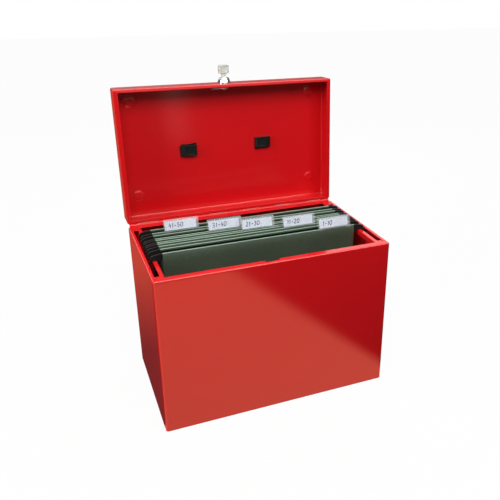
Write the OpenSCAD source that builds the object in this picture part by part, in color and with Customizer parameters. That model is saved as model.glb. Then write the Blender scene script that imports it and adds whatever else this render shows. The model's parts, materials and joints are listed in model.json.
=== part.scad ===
// Portable steel file box with a hinged lid, standing open, and five hanging files.
// Millimetres. The origin is the centre of the base's underside.
// X runs to the right, Y to the back and Z up.

/* [Box] */
// Distance between the centres of the two hanging rails
rail_gap = 332; // [300:1:400]
// Depth of the box, front to back
box_d = 215; // [200:1:300]
// Height of the body, floor to rim
body_h = 249; // [245:1:320]
// Thickness of the sheet steel
sheet = 1; // [0.8:0.1:1.5]
// Outer radius of the folds and upright edges
fold_r = 3; // [2:0.5:5]
// Width of the flange along the front rim
front_flange = 11; // [10:0.5:16]
// Width of the flange along the back rim
rear_flange = 10; // [6:0.5:16]
// Width of the flanges along the side rims
side_flange = 5.5; // [5:0.5:10]
// Height of the base pan's welded edge
base_edge = 10; // [6:1:20]

/* [Hanging rails] */
// Width of the strip that the hooks hang on
rail_w = 6.5; // [5:0.5:9]
// Width of the slot outside the strip
slot_w = 7.5; // [6:0.5:10]
// Thickness of the rail
rail_t = 1.2; // [0.8:0.1:2]
// Height of the rail's turned-down inner edge
rail_lip = 8; // [5:1:15]
// Distance from the box's front and back faces to the slot's ends
slot_end = 18; // [17:1:30]

/* [Lid] */
// Height of the lid
lid_h = 36; // [35:1:60]
// Angle at which the lid stands open
lid_open = 92.5; // [90:0.5:110]
// Gap between the closed lid and the body
lid_gap = 0.3; // [0.2:0.1:1]
// Width of the lid's turned-in flanges, left and right
lid_side_flange = 7; // [5:0.5:8]
// Width of the lid's turned-in flanges, front and back
lid_end_flange = 5; // [4:0.5:6]
// Diameter of the four round stacking seats pressed into the lid
seat_d = 20; // [12:1:26]
// Depth of the stacking seats
seat_depth = 1.2; // [0.8:0.1:2]
// Distance from the lid's sides to the seats' centres
seat_side = 27; // [20:1:40]
// Distance from the lid's front to the front seats' centres
seat_front = 24; // [20:1:40]
// Distance from the lid's back to the back seats' centres
seat_back = 36; // [20:1:50]

/* [Hinge] */
// Length of the continuous hinge
hinge_l = 330; // [250:1:340]
// Number of knuckles
knuckle_n = 11; // [5:2:21]
// Outer diameter of the knuckles
knuckle_d = 5; // [4.5:0.5:7]
// Diameter of the hinge pin
pin_d = 2.4; // [2:0.1:3]
// Width of each leaf, from the pin's axis
leaf_w = 14; // [10:1:20]
// Thickness of the leaves
leaf_t = 1; // [0.8:0.1:1.5]
// Gap between the knuckles and the faces that they turn past
knuckle_gap = 0.3; // [0.2:0.1:0.6]
// Width of the lugs that stop the lid
stop_w = 11; // [6:1:12]
// Thickness of the lugs
stop_t = 2; // [1.5:0.5:3]
// Length of the lugs' feet, which bear on the back wall
stop_l = 10; // [6:1:14]

/* [Lock] */
// Sideways place of the lock, from the middle
lock_x = -2.7; // [-20:0.1:20]
// Height of the lock above the lid's rim
lock_up = 18; // [17:0.5:18.5]
// Diameter of the lock's domed case
dome_d = 21; // [19:0.5:26]
// Height of the domed case
dome_h = 8.6; // [6:0.2:12]
// Diameter of the threaded barrel
barrel_d = 16; // [15.5:0.5:18]
// Diameter of the turning plug
plug_d = 12; // [11:0.5:12.5]
// Running clearance round the plug
plug_gap = 0.08; // [0.05:0.01:0.1]
// Thickness of the nut behind the skirt
nut_t = 3; // [2:0.5:4]
// Distance from the skirt's outer face to the middle of the cam
cam_depth = 8.5; // [8:0.1:9]
// Thickness of the cam
cam_t = 2; // [1.5:0.1:2.5]
// Width of the cam's arm
cam_w = 8; // [6:0.5:9]
// Reach of the cam from the lock's axis
cam_reach = 24; // [23.5:0.5:26]
// Angle that the cam's hook spans
hook_angle = 20; // [15:1:20]
// Clearance round the cam where it passes the rim
notch_gap = 1.5; // [1:0.1:2.5]
// Diameter of the screw that holds the cam
screw_d = 3.8; // [3:0.1:4.5]

/* [Key] */
// Width of the key's blade
blade_w = 6; // [5:0.5:8]
// Thickness of the key's blade
blade_t = 2; // [1.5:0.1:2.5]
// Length of the blade inside the lock
blade_in = 10.5; // [8:0.5:11]
// Width of the key's head
head_w = 17; // [14:0.5:24]
// Height of the key's head
head_h = 14.4; // [12:0.5:22]
// Thickness of the key's head
head_t = 6; // [5:0.5:8]
// Height of the neck between the lock and the head
neck_h = 6; // [4:0.5:10]

/* [Handle] */
// Distance between the centres of the handle's two mounts
handle_span = 132; // [110:1:200]
// Reach of the grip from its pivots
handle_reach = 34; // [28:1:45]
// Diameter of the grip
grip_d = 14; // [12:0.5:15]
// Height of the pivots above the lid
pivot_up = 8; // [7.8:0.1:10]
// Diameter of the pivot pins
pivot_d = 6; // [5:0.5:7]
// Length of each mount's foot, inside and outside the lid
mount_l = 28; // [26:1:34]
// Width of each mount's foot
mount_w = 21; // [20:1:26]
// Depth of the mounts' blocks inside the lid
block_h = 7; // [5:0.5:7.5]

/* [Files] */
// Width of the card folders
folder_w = 309; // [270:1:320]
// Height of the card folders
folder_h = 235; // [200:1:236]
// Height of the folders' top edges above the rim
file_rise = 10; // [9.5:0.5:11]
// Thickness of the card
card_t = 0.7; // [0.5:0.1:1]
// Thickness of the bars
bar_t = 1.6; // [1.2:0.1:2]
// Height of the bars
bar_h = 8.6; // [7:0.1:8.8]
// Thickness of the bars' hooked ends
hook_t = 2.4; // [2:0.1:3]
// Distance from the box's front to each file's front bar, front file first
front_bar = [70, 97, 112, 127, 150];
// Distance between each file's two bars
bar_step = [16, 9, 9, 13, 15];
// Sideways place of each file's tab
tab_x = [120, 70, 6, -44, -108];
// Width of the tabs
tab_w = 55; // [40:1:70]
// Height of the tabs
tab_h = 16; // [12:0.5:16.5]
// Angle at which the tabs lean back
tab_lean = 17; // [0:1:20]
// Thickness of the tabs' clear plastic
tab_t = 0.8; // [0.5:0.1:1.2]
// Thickness of the labels
label_t = 0.4; // [0.3:0.1:0.6]

/* [Hidden] */
$fn = 48;
file_n = len(front_bar);
red = "#b3121a";
black = "#1c1c1c";
green = "#3c4c3e";
clear = [0.9, 0.93, 0.94, 0.4];
over = 1; // how far a cut runs past the face it opens
thin_fit = 0.1; // gap between pieces that slip together
touch = 0.05; // gap between the lid stops and the back wall

box_w = rail_gap + rail_w + 2 * slot_w + 2 * side_flange;
box_front = -box_d / 2;
inner_w = box_w - 2 * sheet;
inner_d = box_d - 2 * sheet;
inner_r = fold_r - sheet;

rail_in = rail_gap / 2 - rail_w / 2; // inner face of a rail's strip
rail_out = rail_gap / 2 + rail_w / 2; // outer face of a rail's strip
rail_top = body_h - sheet;

lid_z = body_h + lid_gap; // rim of the closed lid
lid_top = lid_z + lid_h;
hinge_off = knuckle_d / 2 + knuckle_gap; // pin's axis behind the back wall
hinge_y = box_d / 2 + hinge_off;
hinge_z = body_h + lid_gap / 2;
knuckle_l = hinge_l / knuckle_n;
stop_gap = 1; // gap between the hinge's end and a lug
stop_turn = 0.5; // gap between a lug's round joint and the box's back
pin_fit = 0.05; // radial clearance of the hinge pin

nut_wall = 2; // wall of the nut between its thread and its flats
cam_play = 0.2; // gap between the barrel's end and the cam
barrel_l = cam_depth - cam_t / 2 - cam_play;
plug_head_r = plug_d / 2 + 0.8;
plug_head_h = 1.5;
dome_edge = 2; // height of the straight edge under the dome
dome_land = 1; // width of the flat ring round the plug's head
top_r = plug_head_r + dome_land; // where the dome's curve ends
tang_w = 6; // square end of the plug that drives the cam
cam_hub_r = 7;
screw_l = 6; // length of the cam screw's thread
screw_head_h = 2.5;
hook_gap = 0.3; // gap between the cam's hook and the flange above it
hook_in = (lock_up + lid_gap + sheet + hook_gap) / cos(hook_angle); // inner radius of the cam's hook
notch_sweep = sqrt(pow(cam_reach, 2) - pow(lock_up + lid_gap, 2)); // how far the tip crosses the rim from the axis

head_r = 2; // corner radius of the key's head
head_over = 5; // plastic of the key's head beyond the blade's end
neck_gap = 0.6; // gap between the key's neck and the plug
neck_side = 0.8; // plastic beside the blade in the neck
neck_face = 1.3; // plastic on the blade's faces in the neck
neck_r = 1;

mount_corner = 4;
pad_rim = 1; // how far a mount's foot stands past its block
pad_t = 2.5; // thickness of a mount's foot on the lid
neck_l = mount_l - 4; // the part of a mount that fills the hole in the lid
neck_w = mount_w - 4;
arm_w = 8;
arm_t = 10;
arm_gap = 0.4; // gap between an arm and its boss
boss_in = 5; // distance from a mount's centre to its arm
arm_in = handle_span / 2 - boss_in; // outer face of the handle's arms
boss_w = 12;
boss_r = 7.5;
pin_l = 9;

file_top = body_h + file_rise;
bar_fit = 0.1; // gap between a bar and its card channel
channel_w = bar_t + 2 * bar_fit + 2 * card_t;
channel_h = bar_h + 2 * bar_fit + 2 * card_t;
bar_top = file_top - card_t - bar_fit;
folder_foot = 2.5; // outer radius of a folder's bottom fold
hook_fit = 0.6; // gap between a hook and its rail
hook_x = folder_w / 2 + hook_fit; // where a hooked end starts
hook_under = 1.5; // how far a hooked end reaches below the rail's top, inside the rail
hook_tip = 3.3; // width of the tip that hangs in the slot
hook_down = 4.5; // how far the tip reaches below the rail's top
hook_round = 6; // radius of a hook's shoulder
leg_in = channel_w / 2 + thin_fit; // inner face of a tab's legs
tab_leg = 3; // how far a tab's lugs reach down the card
tab_lug = 8; // width of a lug
label_side = 1.5; // distance from the label to the tab's ends
label_gap = 0.3; // gap between the label and the tab's front wall
label_low = 1; // height of the label's lower edge

// Rectangle with rounded corners, centred.
module rounded_rect(w, d, r) {
    square([w - 2 * r, d], center = true);
    square([w, d - 2 * r], center = true);
    for (x = [-1, 1], y = [-1, 1])
        translate([x * (w / 2 - r), y * (d / 2 - r)])
            circle(r);
}

// Block on z = 0 whose upright edges and top edges are rounded.
module folded_block(w, d, h, r) {
    linear_extrude(h - r)
        rounded_rect(w, d, r);
    linear_extrude(h)
        square([w - 2 * r, d - 2 * r], center = true);
    for (side = [-1, 1]) {
        translate([0, side * (d / 2 - r), h - r])
            rotate([0, 90, 0])
                cylinder(w - 2 * r, r = r, center = true);
        translate([side * (w / 2 - r), 0, h - r])
            rotate([90, 0, 0])
                cylinder(d - 2 * r, r = r, center = true);
        for (end = [-1, 1])
            translate([side * (w / 2 - r), end * (d / 2 - r), h - r])
                sphere(r);
    }
}

// Keeps the right-hand copy of a piece, or mirrors it to the left.
module sided(side) {
    mirror([side < 0 ? 1 : 0, 0, 0])
        children();
}

// Extrudes a shape drawn in Y and Z along X, centred.
module along_x(w) {
    translate([-w / 2, 0, 0])
        rotate([90, 0, 90])
            linear_extrude(w)
                children();
}

// Extrudes a shape drawn in X and Z along Y, centred.
module along_y(d) {
    translate([0, d / 2, 0])
        rotate([90, 0, 0])
            linear_extrude(d)
                children();
}

// Turns what is drawn on the closed lid to where the lid stands open.
module opened() {
    translate([0, hinge_y, hinge_z])
        rotate([-lid_open, 0, 0])
            translate([0, -hinge_y, -hinge_z])
                children();
}

// Puts the lock's parts in place: their Z points out of the lid's front skirt.
module at_lock() {
    opened()
        translate([lock_x, box_front, lid_z + lock_up])
            rotate([90, 0, 0])
                children();
}

// ---- body ----

module body_shell() color(red) difference() {
    folded_block(box_w, box_d, body_h, fold_r);
    translate([0, 0, -over])
        folded_block(inner_w, inner_d, rail_top + over, inner_r);
    translate([-box_w / 2 + side_flange, box_front + front_flange, rail_top - fold_r])
        cube([box_w - 2 * side_flange, box_d - front_flange - rear_flange, fold_r + sheet + over]);
    cam_notch();
}

// Slit in the front rim that the cam swings through.
module cam_notch() {
    left = lock_x - notch_sweep - notch_gap;
    right = lock_x + cam_w / 2 + notch_gap / 2;
    near = box_front + cam_depth - cam_t / 2 - notch_gap;
    translate([left, near, rail_top - over])
        cube([right - left, front_flange, sheet + 2 * over]);
}

module base_panel() color(red) difference() {
    linear_extrude(base_edge)
        rounded_rect(inner_w, inner_d, inner_r);
    translate([0, 0, sheet])
        linear_extrude(base_edge)
            rounded_rect(inner_w - 2 * sheet, inner_d - 2 * sheet, inner_r / 2);
}

module rail(side) color(red) sided(side) difference() {
    union() {
        translate([rail_in, -inner_d / 2 + inner_r, rail_top - rail_t])
            cube([inner_w / 2 - inner_r - rail_in, inner_d - 2 * inner_r, rail_t]);
        translate([rail_in, box_front + slot_end, rail_top - rail_lip])
            cube([rail_t, box_d - 2 * slot_end, rail_lip]);
    }
    translate([rail_out, box_front + slot_end, rail_top - rail_t - over])
        cube([slot_w, box_d - 2 * slot_end, rail_t + 2 * over]);
}

module rail_left() rail(-1);

module rail_right() rail(1);

// ---- hinge ----

function knuckle_x(i) = -hinge_l / 2 + i * knuckle_l;

// Lower leaf when up is -1, upper leaf when up is 1. Its knuckles are every other one from first.
module leaf(up, first) translate([0, hinge_y, hinge_z]) difference() {
    union() {
        translate([-hinge_l / 2, -hinge_off, up > 0 ? lid_gap / 2 : -leaf_w])
            cube([hinge_l, leaf_t, leaf_w - lid_gap / 2]);
        for (i = [first : 2 : knuckle_n - 1])
            translate([knuckle_x(i) + knuckle_gap / 2, 0, 0])
                rotate([0, 90, 0])
                    cylinder(knuckle_l - knuckle_gap, d = knuckle_d);
    }
    for (i = [1 - first : 2 : knuckle_n - 1])
        translate([knuckle_x(i) - knuckle_gap / 2, -hinge_off - over, -hinge_off])
            cube([knuckle_l + knuckle_gap, leaf_t + 2 * over, 2 * hinge_off]);
    rotate([0, 90, 0])
        cylinder(hinge_l + 2 * over, d = pin_d + 2 * pin_fit, center = true);
}

module hinge_body_leaf() color(red) leaf(-1, 0);

module hinge_lid_leaf() color(red) opened() leaf(1, 1);

module hinge_pin() color("silver")
    translate([0, hinge_y, hinge_z])
        rotate([0, 90, 0])
            cylinder(hinge_l, d = pin_d, center = true);

// Lug on the lid's back skirt. Its foot bears on the body's back wall when the lid is open.
module lid_stop(side) color(red) translate([side * (hinge_l / 2 + stop_gap + stop_w / 2), 0, 0]) {
    opened()
        translate([-stop_w / 2, box_d / 2, hinge_z])
            cube([stop_w, stop_t, leaf_w]);
    translate([0, hinge_y, hinge_z])
        rotate([0, 90, 0])
            cylinder(stop_w, r = hinge_off - stop_turn, center = true);
    translate([-stop_w / 2, box_d / 2 + touch, hinge_z - stop_l])
        cube([stop_w, stop_t, stop_l]);
}

module lid_stop_left() lid_stop(-1);

module lid_stop_right() lid_stop(1);

// ---- lid ----

module at_seats() {
    for (x = [-1, 1], y = [box_front + seat_front, box_d / 2 - seat_back])
        translate([x * (box_w / 2 - seat_side), y, 0])
            children();
}

module lid_shell() color(red) opened() translate([0, 0, lid_z]) difference() {
    union() {
        difference() {
            folded_block(box_w, box_d, lid_h, fold_r);
            translate([0, 0, sheet])
                folded_block(inner_w, inner_d, lid_h - 2 * sheet, inner_r);
        }
        at_seats()
            translate([0, 0, lid_h - sheet - seat_depth])
                cylinder(seat_depth + sheet / 2, d = seat_d);
    }
    translate([-box_w / 2 + lid_side_flange, box_front + lid_end_flange, -over])
        cube([box_w - 2 * lid_side_flange, box_d - 2 * lid_end_flange, sheet + 2 * over]);
    at_seats()
        translate([0, 0, lid_h - seat_depth])
            cylinder(seat_depth + over, d = seat_d - 2 * sheet);
    translate([lock_x, box_front - over, lock_up])
        rotate([-90, 0, 0])
            cylinder(sheet + 2 * over, d = barrel_d + 2 * thin_fit);
    for (side = [-1, 1])
        translate([side * handle_span / 2, 0, lid_h - sheet - over])
            linear_extrude(sheet + 2 * over)
                square([neck_l + 2 * thin_fit, neck_w + 2 * thin_fit], center = true);
}

// ---- lock and key ----

module lock_body() color("gainsboro") at_lock() rotate_extrude() difference() {
    union() {
        square([dome_d / 2, dome_edge]);
        polygon(concat(
            [[0, dome_edge / 2], [dome_d / 2, dome_edge / 2]],
            [for (a = [0 : 10 : 90])
                [top_r + (dome_d / 2 - top_r) * cos(a), dome_edge + (dome_h - dome_edge) * sin(a)]],
            [[0, dome_h]]
        ));
        translate([0, -barrel_l])
            square([barrel_d / 2, barrel_l + dome_edge / 2]);
    }
    translate([-over, -barrel_l - over])
        square([plug_d / 2 + plug_gap + over, barrel_l + dome_h + 2 * over]);
    translate([-over, dome_h - plug_head_h])
        square([plug_head_r + plug_gap + over, plug_head_h + over]);
}

module lock_nut() color("silver") at_lock() translate([0, 0, -sheet - nut_t]) difference() {
    cylinder(nut_t, d = (barrel_d + 2 * nut_wall) / cos(30), $fn = 6);
    translate([0, 0, -over])
        cylinder(nut_t + 2 * over, d = barrel_d + touch);
}

module lock_plug() color("silver") at_lock() difference() {
    union() {
        translate([0, 0, -cam_depth + cam_t / 2])
            cylinder(cam_depth - cam_t / 2 + dome_h, d = plug_d);
        translate([0, 0, dome_h - plug_head_h + plug_gap])
            cylinder(plug_head_h - plug_gap, r = plug_head_r);
        translate([0, 0, -cam_depth])
            cube([tang_w, tang_w, cam_t], center = true);
    }
    translate([-blade_w / 2 - thin_fit, -blade_t / 2 - thin_fit, dome_h - blade_in - thin_fit])
        cube([blade_w + 2 * thin_fit, blade_t + 2 * thin_fit, blade_in + over]);
    translate([0, 0, -cam_depth - cam_t])
        cylinder(screw_l + cam_t, d = screw_d + touch);
}

module lock_cam() color("silver") at_lock() translate([0, 0, -cam_depth - cam_t / 2]) linear_extrude(cam_t)
    difference() {
        union() {
            circle(cam_hub_r);
            intersection() {
                circle(cam_reach);
                union() {
                    translate([-cam_reach, -cam_w / 2])
                        square([cam_reach, cam_w]);
                    difference() {
                        polygon([
                            [0, 0],
                            [-2 * cam_reach, 0],
                            [-2 * cam_reach, -2 * cam_reach * tan(hook_angle)]
                        ]);
                        circle(hook_in);
                    }
                }
            }
        }
        square(tang_w + thin_fit, center = true);
    }

module cam_screw() color("silver") at_lock() translate([0, 0, -cam_depth - cam_t / 2]) {
    translate([0, 0, -screw_head_h])
        cylinder(screw_head_h, d = 2 * screw_d);
    cylinder(screw_l, d = screw_d);
}

module key_blade() color("silver") at_lock()
    translate([-blade_w / 2, -blade_t / 2, dome_h - blade_in])
        cube([blade_w, blade_t, blade_in + neck_h + head_h - head_over]);

module key_head() color(clear) at_lock() difference() {
    union() {
        translate([0, 0, dome_h + neck_gap])
            linear_extrude(neck_h)
                rounded_rect(blade_w + 2 * neck_side, blade_t + 2 * neck_face, neck_r);
        translate([0, 0, dome_h + neck_h + head_h / 2])
            along_y(head_t)
                rounded_rect(head_w, head_h, head_r);
    }
    translate([-blade_w / 2 - touch, -blade_t / 2 - touch, dome_h])
        cube([blade_w + 2 * touch, blade_t + 2 * touch, neck_h + head_h - head_over + touch]);
}

// ---- handle ----

module handle_bracket(side) color(black) opened() translate([side * handle_span / 2, 0, lid_top])
    sided(side) difference() {
        union() {
            linear_extrude(pad_t)
                rounded_rect(mount_l + 2 * pad_rim, mount_w + 2 * pad_rim, mount_corner);
            translate([0, 0, -sheet - touch])
                linear_extrude(sheet + touch + pad_t / 2)
                    square([neck_l, neck_w], center = true);
            translate([0, 0, -sheet - touch])
                along_y(mount_w)
                    polygon([
                        [-mount_l / 2, 0],
                        [mount_l / 2, 0],
                        [mount_l / 2, -block_h / 2],
                        [mount_l / 2 - block_h, -block_h],
                        [-mount_l / 2 + block_h / 3, -block_h],
                        [-mount_l / 2, -block_h * 2 / 3]
                    ]);
            translate([arm_gap - boss_in, 0, pivot_up])
                rotate([0, 90, 0])
                    cylinder(boss_w, r = boss_r);
            translate([arm_gap - boss_in, -boss_r, 0])
                cube([boss_w, 2 * boss_r, pivot_up]);
        }
        translate([-boss_in - over, 0, pivot_up])
            rotate([0, 90, 0])
                cylinder(pin_l + over + arm_gap, d = pivot_d + 2 * thin_fit);
    }

module handle_bracket_left() handle_bracket(-1);

module handle_bracket_right() handle_bracket(1);

// The handle hangs plumb from its pivots while the lid stands open.
module handle_grip() color(black) opened() translate([0, 0, lid_top + pivot_up]) rotate([lid_open - 90, 0, 0]) {
    translate([0, handle_reach, 0])
        rotate([0, 90, 0])
            cylinder(2 * arm_in, d = grip_d, center = true);
    for (side = [-1, 1]) sided(side) {
        translate([arm_in - arm_w, 0, -arm_t / 2])
            cube([arm_w, handle_reach, arm_t]);
        translate([arm_in - arm_w, 0, 0])
            rotate([0, 90, 0])
                cylinder(arm_w, d = arm_t);
        translate([arm_in - over, 0, 0])
            rotate([0, 90, 0])
                cylinder(pin_l + over, d = pivot_d);
    }
}

// ---- files ----

function bar_y(i) = box_front + front_bar[i - 1];

// Card loop round a bar, with its top edge at z = 0.
module channel() {
    difference() {
        translate([-channel_w / 2, -channel_h])
            square([channel_w, channel_h]);
        translate([-channel_w / 2 + card_t, -channel_h + card_t])
            square([channel_w - 2 * card_t, channel_h - 2 * card_t]);
    }
}

// One side of a folder, from its channel at the origin to the fold that is half a step away.
module side_sheet(half_step) {
    foot_y = half_step - folder_foot;
    foot_z = -folder_h + folder_foot;
    polygon([
        [-channel_w / 2, -channel_h + card_t / 2],
        [-channel_w / 2 + card_t, -channel_h + card_t / 2],
        [foot_y + card_t, foot_z],
        [foot_y, foot_z]
    ]);
}

module folder(i) color(green) translate([0, bar_y(i) + bar_step[i - 1] / 2, file_top]) {
    half_step = bar_step[i - 1] / 2;
    for (face = [0, 1])
        mirror([0, face, 0])
            translate([0, -half_step, 0]) {
                along_x(folder_w)
                    channel();
                along_x(folder_w)
                    side_sheet(half_step);
            }
    along_x(folder_w)
        translate([0, -folder_h + folder_foot])
            difference() {
                circle(folder_foot);
                circle(folder_foot - card_t);
                translate([-2 * folder_foot, card_t / 2])
                    square(4 * folder_foot);
            }
}

// Outline of a bar's right end: an arm over the rail, with its tip in the slot.
module hook_outline() {
    tip_in = rail_out + hook_fit;
    tip_out = tip_in + hook_tip;
    shoulder_z = rail_top + bar_h - hook_round;
    polygon(concat(
        [[hook_x, rail_top - hook_under], [rail_in - hook_fit, rail_top - hook_under], [rail_in - hook_fit, rail_top]],
        [[tip_in, rail_top], [tip_in, rail_top - hook_down], [tip_out, rail_top - hook_down]],
        [for (a = [0 : 15 : 90])
            [tip_out - hook_round + hook_round * cos(a), shoulder_z + hook_round * sin(a)]],
        [[hook_x, bar_top]]
    ));
}

module bar(y) color(black) translate([0, y, 0]) {
    translate([0, 0, bar_top - bar_h / 2])
        cube([2 * hook_x + over, bar_t, bar_h], center = true);
    along_y(hook_t) {
        hook_outline();
        mirror([1, 0])
            hook_outline();
    }
}

function lean(z) = z * tan(tab_lean);

// A tab's cross-section: two leaning walls and a top, open below.
module tab_section() {
    difference() {
        polygon([
            [-leg_in - tab_t, thin_fit],
            [leg_in + tab_t, thin_fit],
            [leg_in + tab_t + lean(tab_h), tab_h],
            [-leg_in - tab_t + lean(tab_h), tab_h]
        ]);
        polygon([
            [-leg_in, 0],
            [leg_in, 0],
            [leg_in + lean(tab_h - tab_t), tab_h - tab_t],
            [-leg_in + lean(tab_h - tab_t), tab_h - tab_t]
        ]);
    }
}

module tab(i) color(clear) translate([tab_x[i - 1], bar_y(i), file_top]) {
    along_x(tab_w)
        tab_section();
    for (end = [-1, 1], face = [-1, 1])
        translate([end * (tab_w - tab_lug) / 2, face * (leg_in + tab_t / 2), -tab_leg / 2])
            cube([tab_lug, tab_t, tab_leg + 4 * thin_fit], center = true);
}

module label(i) color("white") translate([tab_x[i - 1], bar_y(i), file_top]) {
    near = -leg_in + label_gap;
    label_top = tab_h - 2 * tab_t;
    along_x(tab_w - 2 * label_side)
        polygon([
            [near + lean(label_low), label_low],
            [near + label_t + lean(label_low), label_low],
            [near + label_t + lean(label_top), label_top],
            [near + lean(label_top), label_top]
        ]);
}

body_shell();
base_panel();
rail_left();
rail_right();
hinge_body_leaf();
hinge_pin();
hinge_lid_leaf();
lid_shell();
lid_stop_left();
lid_stop_right();
lock_body();
lock_nut();
lock_plug();
lock_cam();
cam_screw();
key_blade();
key_head();
handle_bracket_left();
handle_bracket_right();
handle_grip();
for (i = [1 : file_n]) {
    folder(i);
    bar(bar_y(i));
    bar(bar_y(i) + bar_step[i - 1]);
    tab(i);
    label(i);
}
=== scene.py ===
import json
import math

import bmesh
import bpy
import numpy as np
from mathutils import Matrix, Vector

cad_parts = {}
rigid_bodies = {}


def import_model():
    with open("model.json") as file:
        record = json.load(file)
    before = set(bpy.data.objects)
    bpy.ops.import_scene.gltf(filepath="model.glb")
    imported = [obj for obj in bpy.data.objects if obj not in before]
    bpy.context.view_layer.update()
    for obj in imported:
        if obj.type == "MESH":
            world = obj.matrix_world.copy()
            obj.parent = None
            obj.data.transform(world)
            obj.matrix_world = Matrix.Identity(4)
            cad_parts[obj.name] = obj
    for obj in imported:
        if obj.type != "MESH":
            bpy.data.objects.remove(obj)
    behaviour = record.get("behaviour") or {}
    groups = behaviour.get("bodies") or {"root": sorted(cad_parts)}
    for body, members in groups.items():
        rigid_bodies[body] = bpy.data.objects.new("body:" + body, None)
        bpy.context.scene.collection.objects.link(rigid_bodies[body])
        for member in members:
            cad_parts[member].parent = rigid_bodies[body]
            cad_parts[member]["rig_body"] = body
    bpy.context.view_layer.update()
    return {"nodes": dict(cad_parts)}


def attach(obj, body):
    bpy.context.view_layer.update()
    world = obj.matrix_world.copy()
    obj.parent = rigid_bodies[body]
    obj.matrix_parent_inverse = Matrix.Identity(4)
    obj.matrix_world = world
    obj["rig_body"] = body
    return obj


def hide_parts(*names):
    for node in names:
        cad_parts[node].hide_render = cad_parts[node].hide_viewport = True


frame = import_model()

# Sizes are in millimetres, and the meshes are made in metres. These are the ones that several pieces share.
mm = 0.001
weld = 0.002 * mm  # points nearer than this become one

box = {"width": 364.5, "depth": 215.0, "height": 249.0, "sheet": 1.0, "fold": 3.0, "corner": 4.2,
       "topBend": 1.9, "dish": 0.35, "frontFlange": 11.0, "rearFlange": 10.0, "sideFlange": 5.5,
       "notchLeft": -19.73, "notchRight": 2.05, "notchEdge": 6.0, "panRise": 10.0}
lid = {"gap": 0.3, "height": 36.0, "angle": 92.5, "sideFlange": 7.0, "endFlange": 5.0,
       "rimFold": 1.3, "rimRise": 0.5, "dish": 0.4,
       "seatRadius": 10.0, "seatDepth": 1.2, "seatSlope": 4.5, "seatSide": 27.0, "seatFront": 24.0, "seatBack": 36.0,
       "handleHole": (24.2, 17.2), "lockHole": 8.1, "tabWidth": 11.0, "tabSheet": 0.9}
hinge = {"length": 330.0, "knuckles": 11, "radius": 2.5, "bore": 1.25, "leaf": 14.0, "leafSheet": 1.0, "gap": 0.3}
lock = {"x": -2.7, "up": 18.0, "domeRadius": 10.5, "domeHeight": 8.6, "domeCap": 7.4, "domePull": (9.5, 5.0),
        "bore": 6.08, "recess": 6.88, "recessDepth": 1.5, "barrelRadius": 8.0, "barrelEnd": 7.3, "threadEnd": 4.1}
handle = {"span": 132.0, "reach": 34.0, "gripHalf": 6.5, "armHalf": (4.0, 5.0), "swell": 0.35, "pin": (3.0, 9.0),
          "pivotUp": 8.0, "armFace": 61.0, "armWidth": 8.0, "corner": 9.0, "hang": 2.5}

halfWidth = box["width"] / 2
halfDepth = box["depth"] / 2
hingeY = halfDepth + hinge["radius"] + hinge["gap"]
hingeZ = box["height"] + lid["gap"] / 2
lidZ = box["height"] + lid["gap"]
lidTop = lidZ + lid["height"]


# Turns points about an axis along X through (y0, z0): y' = y0 + dy cos a - dz sin a, z' = z0 + dy sin a + dz cos a.
def turnAboutX(points, y0, z0, degrees):
    a = math.radians(degrees)
    dy = points[..., 1] - y0
    dz = points[..., 2] - z0
    return np.stack([points[..., 0], y0 + dy * math.cos(a) - dz * math.sin(a),
                     z0 + dy * math.sin(a) + dz * math.cos(a)], -1)


# Closed-lid points to where they are on the open lid.
def openLid(points):
    return turnAboutX(np.asarray(points, float), hingeY, hingeZ, -lid["angle"])


# Quads of a grid whose points run along columns first. They face along columns x rows.
def gridQuads(rows, columns, closeRows=False, closeColumns=False):
    r = np.arange(rows if closeRows else rows - 1)[:, None]
    c = np.arange(columns if closeColumns else columns - 1)[None, :]
    nextRow = (r + 1) % rows
    nextColumn = (c + 1) % columns
    corners = (r * columns + c, r * columns + nextColumn, nextRow * columns + nextColumn, nextRow * columns + c)
    return np.stack(np.broadcast_arrays(*corners), -1).reshape(-1, 4)


# A grid of points from coordinates that vary along its rows, its columns or both.
def gridPoints(x, y, z):
    return np.stack(np.broadcast_arrays(x, y, z), -1)


# Even angles from one number of degrees to another, in radians.
def turns(start, end, count):
    return np.radians(np.linspace(start, end, count))


def fullTurn(steps):
    return np.linspace(0, 2 * math.pi, steps, endpoint=False)


# A smooth rise: 3 t^2 - 2 t^3.
def eased(t):
    return t * t * (3 - 2 * t)


def middles(points, quads):
    return points.reshape(-1, 3)[quads].mean(1)


def faceLists(faces):
    return faces.tolist() if isinstance(faces, np.ndarray) else faces


# Several (points, faces) parts as one.
def joinParts(*parts):
    points, faces, start = [], [], 0
    for partPoints, partFaces in parts:
        flat = np.asarray(partPoints, float).reshape(-1, 3)
        points.append(flat)
        faces += [[start + i for i in face] for face in faceLists(partFaces)]
        start += len(flat)
    return np.concatenate(points), faces


def moved(part, place):
    return place(np.asarray(part[0], float)), part[1]


def shifted(part, x, y, z):
    return moved(part, lambda points: points + [x, y, z])


# The other-handed copy: x' = -x, with each face read backwards.
def mirrored(part):
    points = np.asarray(part[0], float).reshape(-1, 3) * [-1, 1, 1]
    return points, [list(face)[::-1] for face in faceLists(part[1])]


# A closed outline in two axes carried along the third, which is named by its letter.
def slab(outline, low, high, along="z"):
    outline = np.asarray(outline, float)
    n = len(outline)
    flat = np.concatenate([np.column_stack([outline, np.full(n, level)]) for level in (low, high)])
    i = np.arange(n)
    sides = np.stack([i, (i + 1) % n, (i + 1) % n + n, i + n], -1).tolist()
    order = {"z": [0, 1, 2], "x": [2, 0, 1], "y": [0, 2, 1]}[along]
    faces = sides + [list(range(n - 1, -1, -1)), list(range(n, 2 * n))]
    return flat[:, order], [face[::-1] for face in faces] if along == "y" else faces


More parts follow.
